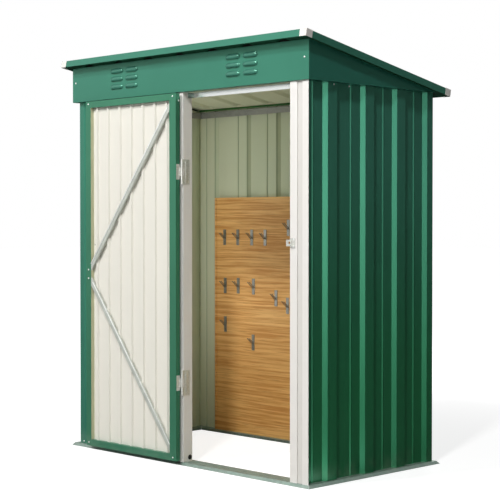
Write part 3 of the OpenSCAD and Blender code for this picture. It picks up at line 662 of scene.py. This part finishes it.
# %% Place the hoods
SHEET = 0.0015
LOUVRE_GROUP, LOUVRE_COLUMN, LOUVRE_ROW, LOUVRE_RISE = 0.379, 0.103, 0.0355, 0.087
fascia_low, fascia_high = nodes_box("front_fascia")
fascia_face = nodes_box("gable_panel_right")[0].y - SHEET
places = [(side * LOUVRE_GROUP + column * LOUVRE_COLUMN, fascia_face, fascia_low.z + LOUVRE_RISE + row * LOUVRE_ROW)
          for side in (-1, 1) for column in (-0.5, 0.5) for row in (-1, 0, 1)]
add_piece("louvre_hoods", copies(hood, [Matrix.Translation(p) for p in places]),
          coated_sheet("louvre_green", GREEN, GREEN, FRONT, tint=LOUVRE_GLOSS, gloss=0.22), "shed",
          sharp=50)

# %% [markdown]
# ### Screws and rivets
# Pan-head screws hold the sheets, the door frame and the keeper, and dimpled rivets hold the hinge
# leaves. Both are spun profiles; a screw has a sunk driver recess, a rivet a small hole.

# %% Screw
SCREW_R, SCREW_H = 0.0042, 0.0022
screw = turned([(0, SCREW_H * 0.55), (SCREW_R * 0.34, SCREW_H * 0.55), (SCREW_R * 0.4, SCREW_H),
                (SCREW_R * 0.72, SCREW_H * 0.9), (SCREW_R * 0.95, SCREW_H * 0.5), (SCREW_R, 0)])
screw_steel = plated("screw_zinc", paint_card(246, 247, 245), paint_card(226, 229, 226), 400.0, 0.3, 0.25)
print("screw", len(screw.polygons), "faces")

# %% Screws of the door
free_low, free_high = nodes_box("door_stile_free")
hinge_low, hinge_high = nodes_box("door_stile_hinge")
free_mid, hinge_mid = (free_low + free_high) / 2, (hinge_low + hinge_high) / 2
SCREW_TOP, SCREW_FOOT, SCREW_PAIR = 0.012, 0.015, 0.02
door_places = [(free_mid.x, free_low.y, z) for z in (free_high.z - SCREW_TOP, free_low.z + SCREW_FOOT,
                                                     free_mid.z - SCREW_PAIR, free_mid.z + SCREW_PAIR)]
door_places += [(hinge_mid.x, hinge_low.y, z) for z in (hinge_high.z - SCREW_TOP, hinge_low.z + SCREW_FOOT)]
EDGE_SCREW_BACK, EDGE_SCREW_DROP = 0.006, 0.031
edge_screw = standing((hinge_high.x, hinge_mid.y + EDGE_SCREW_BACK, hinge_high.z - EDGE_SCREW_DROP), (1, 0, 0))
add_piece("door_screws", copies(screw, [standing(p, (0, -1, 0)) for p in door_places] + [edge_screw]),
          screw_steel, "door")

# %% Screws of the shed
FASCIA_SCREW_IN, FASCIA_SCREW_RISE = 0.0235, 0.089
shed_places = [standing((side * (fascia_high.x - FASCIA_SCREW_IN), fascia_face, fascia_low.z + FASCIA_SCREW_RISE),
                        (0, -1, 0)) for side in (-1, 1)]
wall_high = nodes_box("right_wall_sheet_front")[1]
WALL_SCREW_DROP, CROWN_Y, BEAD_Y, BEAD_BACK = 0.0075, -0.246, -0.139, 0.013
for side in (-1, 1):
    for y, back in ((CROWN_Y, 0), (BEAD_Y, BEAD_BACK)):
        shed_places.append(standing((side * (wall_high.x - back), y, wall_high.z - WALL_SCREW_DROP), (side, 0, 0)))
front_low = nodes_box("front_wall_sheet")[0]
FRONT_SCREW_IN, FRONT_SCREW_RISE = 0.027, 0.009
shed_places.append(standing((front_low.x + FRONT_SCREW_IN, front_low.y, front_low.z + FRONT_SCREW_RISE), (0, -1, 0)))
keeper_low, keeper_high = nodes_box("latch_keeper")
KEEPER_T, KEEPER_SCREW_IN, KEEPER_SCREW_END = 0.0015, 0.008, 0.006
for z in (keeper_low.z + KEEPER_SCREW_END, keeper_high.z - KEEPER_SCREW_END):
    shed_places.append(standing((keeper_high.x - KEEPER_SCREW_IN, keeper_high.y - KEEPER_T, z), (0, -1, 0)))
add_piece("shed_screws", copies(screw, shed_places), screw_steel, "shed")

# %% Hinge rivets
RIVET_R, RIVET_H = 0.0036, 0.0011
rivet = turned([(0, RIVET_H * 0.3), (RIVET_R * 0.3, RIVET_H * 0.3), (RIVET_R * 0.36, RIVET_H),
                (RIVET_R * 0.7, RIVET_H * 0.85), (RIVET_R, 0)])
leaf_low, leaf_high = nodes_box("door_hinge_leaves")
frame_high = nodes_box("frame_hinge_leaves")[1]
LEAF_T, LEAF_HALF, LEAF_EDGE = 0.0012, 0.033, 0.008
door_leaf_x = hinge_high.x + LEAF_T
hinge_heights = [leaf_low.z + LEAF_HALF, leaf_high.z - LEAF_HALF]
RIVET_FRONT, RIVET_BACK = 0.008, 0.007
rivet_places = [(door_leaf_x, y, z + end * (LEAF_HALF - LEAF_EDGE)) for z in hinge_heights for end in (-1, 1)
                for y in (hinge_low.y + RIVET_FRONT, hinge_high.y - RIVET_BACK)]
add_piece("door_hinge_rivets", copies(rivet, [standing(p, (1, 0, 0)) for p in rivet_places]),
          hinge_steel, "door")

# %% [markdown]
# ### Pressed band of the hinges
# The frame leaves are stiffened by a raised band down their middle. It is a flat box with a wide bevel,
# so that its long edges catch the light.

# %% Hinge bands
BAND_W, BAND_L, BAND_H = 0.013, 0.094, 0.0008
bm = bmesh.new()
rounded_box(bm, Matrix.Identity(4), (BAND_W, BAND_L, 2 * BAND_H), BAND_H * 0.9, segments=3)
band = template(bm)
band_y = (nodes_box("door_post_left")[0].y + frame_high.y) / 2
bands = [standing((nodes_box("door_post_left")[1].x + LEAF_T, band_y, z), (1, 0, 0)) for z in hinge_heights]
add_piece("hinge_bands", copies(band, bands), hinge_steel, "shed")

# %% [markdown]
# ### Black plug and foam fillers
# A black plug closes the foot of the left post. Pieces of foam fill the ribs of the roof, as is usual with
# ribbed sheet: black ones above the fascia, and cream ones above the rear wall. A filler is a trapezoid with
# the section of a rib, extruded along the slope, and it lies on the plane of the roof's pans, which is found
# from the middle roof sheet's box.

# %% Black plug
rubber, tree, shader = new_material("black_rubber", Roughness=0.6, Specular_IOR_Level=0.3)
ripple = place_group(tree, coat_ripple, Scale=300.0)
tree.links.new(mix_colour(tree, ripple["Tone"], paint_card(16, 17, 16), paint_card(36, 37, 35)), shader["Base Color"])
post_low, post_high = nodes_box("door_post_left")
PLUG_R, PLUG_H, PLUG_IN, PLUG_RISE = 0.011, 0.0018, 0.0135, 0.0185
plug = turned([(0, PLUG_H), (PLUG_R * 0.6, PLUG_H), (PLUG_R * 0.9, PLUG_H * 0.7), (PLUG_R, 0)], steps=24)
plug_place = standing((post_high.x, post_high.y - PLUG_IN, post_low.z + PLUG_RISE), (1, 0, 0))
add_piece("post_plug", copies(plug, [plug_place]), rubber, "shed")

# %% Foam fillers
RIB_PITCH, RIB_HEIGHT, RIB_FOOT, RIB_TOP = 0.208, 0.012, 0.0315, 0.0195
FILLER_FOOT, FILLER_RISE, FILLER_LENGTH, FILLER_ROUND = 0.0003, 0.0115, 0.02, 0.0008
sheet_low, sheet_high = nodes_box("roof_sheet_middle")
pan_z = sheet_high.z - (SHEET + RIB_HEIGHT) * math.cos(roof_fall) - (fascia_face - sheet_low.y) * math.tan(roof_fall)
bm = bmesh.new()
section = [bm.verts.new((x, 0, z)) for x, z in ((-RIB_FOOT, FILLER_FOOT), (RIB_FOOT, FILLER_FOOT),
                                               (RIB_TOP, FILLER_RISE), (-RIB_TOP, FILLER_RISE))]
side = bmesh.ops.extrude_face_region(bm, geom=[bm.faces.new(section)])
far_end = [v for v in side["geom"] if isinstance(v, bmesh.types.BMVert)]
bmesh.ops.translate(bm, verts=far_end, vec=(0, FILLER_LENGTH, 0))
round_edges(bm, bm.edges[:], FILLER_ROUND)
filler = template(bm)
print("filler", len(filler.polygons), "faces; pans", round(pan_z, 4), "m above the ground at the fascia")

# %% Fillers at the front and the rear
ribs_each_side = int(fascia_high.x / RIB_PITCH)
rib_middles = [k * RIB_PITCH for k in range(-ribs_each_side, ribs_each_side + 1)]
slope = Matrix.Rotation(-roof_fall, 4, "X")
fillers = [Matrix.Translation((x, fascia_face, pan_z)) @ slope for x in rib_middles]
add_piece("rib_fillers", copies(filler, fillers), rubber, "shed")
rear_y = nodes_box("rear_wall_sheet_middle")[0].y - FILLER_LENGTH
rear_z = pan_z - (rear_y - fascia_face) * math.tan(roof_fall)
rear_fillers = [Matrix.Translation((x, rear_y, rear_z)) @ slope for x in rib_middles]
filler_cream = coated_sheet("filler_cream", INNER_CREAM, INNER_CREAM, FRONT, tint=WHITE_GLOSS, shine=0.3, gloss=0.6)
add_piece("rear_rib_fillers", copies(filler, rear_fillers), filler_cream, "shed")

# %% [markdown]
# ### Strip below the rear eave
# A strip fills the gap between the rear top channel and the roof, and its dark green is a band of painted
# shade. It hangs just below the plane of the roof's pans, follows the slope with its upper face, and its
# edges are rounded.

# %% Eave strip
STRIP_H, STRIP_T, STRIP_ROUND, STRIP_AHEAD, STRIP_BELOW = 0.009, 0.004, 0.0012, 0.0005, 0.0008
rail_low, rail_high = nodes_box("top_rail_rear")
strip_y = rail_low.y - STRIP_T / 2 - STRIP_AHEAD
strip_z = pan_z - (strip_y - fascia_face) * math.tan(roof_fall) - STRIP_H / 2 - STRIP_BELOW
bm = bmesh.new()
rounded_box(bm, Matrix.Translation((0, strip_y, strip_z)) @ slope,
            (rail_high.x - rail_low.x, STRIP_T, STRIP_H), STRIP_ROUND, segments=3)
# Painted shade: the strip's dark green stands for the shade under the rear eave.
EAVE_SHADE_GREEN = paint_card(58, 96, 48)
add_piece("eave_strip", bm, coated_sheet("eave_shade_green", EAVE_SHADE_GREEN, EAVE_SHADE_GREEN, FRONT, shine=0.3, gloss=0.5), "shed")
print("strip", round(strip_z - rail_high.z, 4), "m above the channel's top")

# %% [markdown]
# ### Edge strip of the board
# A thin lath is nailed along the left edge of the tool board. Its long edges are rounded, and the nail
# heads are small spun buttons at even steps from the top.

# %% Edge strip
LATH_W, LATH_T, LATH_ROUND = 0.013, 0.003, 0.0008
board_low, board_high = nodes_box("tool_board")
lath_mid = Vector((board_low.x + LATH_W / 2, board_low.y - LATH_T / 2, (board_low.z + board_high.z) / 2))
bm = bmesh.new()
rounded_box(bm, Matrix.Translation(lath_mid), (LATH_W, LATH_T, board_high.z - board_low.z), LATH_ROUND)
add_piece("board_edge_strip", bm, timber, "shed")

# %% Nails
NAIL_R, NAIL_STEP, NAIL_TOP, NAIL_OFF_CENTRE = 0.0022, 0.048, 0.012, 0.0025
nail = turned([(0, 0.0009), (NAIL_R * 0.7, 0.0008), (NAIL_R, 0)], steps=10)
nail_count = int((board_high.z - board_low.z) / NAIL_STEP)
nail_x, nail_y, nail_z = lath_mid.x + NAIL_OFF_CENTRE, board_low.y - LATH_T, board_high.z - NAIL_TOP
nails = [standing((nail_x, nail_y, nail_z - i * NAIL_STEP), (0, -1, 0)) for i in range(nail_count)]
add_piece("board_nails", copies(nail, nails), hook_steel, "shed")

# %% [markdown]
# ### Header bracket and latch rivets
# A folded bracket holds the bar over the doorway to the left post, and the ends of three hollow rivets
# show where the latch is fixed to the other side of the door.

# %% Header bracket
header_low = nodes_box("door_header")[0]
BRACKET_W, BRACKET_H, BRACKET_T, BRACKET_ROUND = 0.018, 0.022, 0.0015, 0.0004
bm = bmesh.new()
for size in ((BRACKET_T, BRACKET_W, BRACKET_H), (BRACKET_H, BRACKET_W, BRACKET_T)):
    middle = Vector((header_low.x + size[0] / 2, header_low.y - BRACKET_W / 2, header_low.z + size[2] / 2))
    rounded_box(bm, Matrix.Translation(middle), size, BRACKET_ROUND)
add_piece("header_bracket", bm, zinc, "shed")

# %% Latch rivets
panel_low, panel_high = nodes_box("door_sheet")
latch_low, latch_high = nodes_box("door_latch")
latch_mid = (latch_low.z + latch_high.z) / 2
HOLE_R, HOLE_H = 0.0028, 0.0012
hollow_rivet = turned([(0, 0.0002), (HOLE_R * 0.55, 0.0002), (HOLE_R * 0.7, HOLE_H), (HOLE_R, HOLE_H * 0.7),
                       (HOLE_R, 0)], steps=12)
panel_face = panel_high.y - SHEET
LATCH_RIVETS = (0.018, 0.016), (0.018, 0.001), (0.009, -0.022)
rivet_spots = [(panel_low.x + x, panel_face, latch_mid + z) for x, z in LATCH_RIVETS]
add_piece("latch_rivets", copies(hollow_rivet, [standing(p, (0, -1, 0)) for p in rivet_spots]), hook_steel, "door")

# %% [markdown]
# ### Rolled lips of the braces
# The upper edge of each brace is rolled over, and the lip takes the whiter screw steel as a painted
# highlight along that edge. The lip is a narrow box with rounded edges that runs along the brace. Its
# slope follows from the brace's own box: the box is as high as the brace rises, plus the height that the
# brace's width takes up on the slope, so the slope is found by repeating the sum a few times.

# %% Brace lips
BRACE_W, LIP_W, LIP_T, LIP_ROUND = 0.022, 0.005, 0.002, 0.0007
lips = bmesh.new()
for name, way in (("door_brace_upper", 1), ("door_brace_lower", -1)):
    low, high = nodes_box(name)
    run, rise = high.x - low.x, high.z - low.z
    for _ in range(6):
        rise = high.z - low.z - BRACE_W * math.hypot(run, rise) / run
    tilt = Matrix.Rotation(-way * math.atan2(rise, run), 4, "Y")
    middle = Vector(((low.x + high.x) / 2, low.y - LIP_T / 4, (low.z + high.z) / 2))
    middle += tilt @ Vector((0, 0, (BRACE_W - LIP_W) / 2))
    size = (math.hypot(run, rise) - BRACE_W, LIP_T, LIP_W)
    rounded_box(lips, Matrix.Translation(middle) @ tilt, size, LIP_ROUND)
# Painted highlight: the lip takes the whiter screw steel, not the brace's zinc.
add_piece("brace_lips", lips, screw_steel, "door")
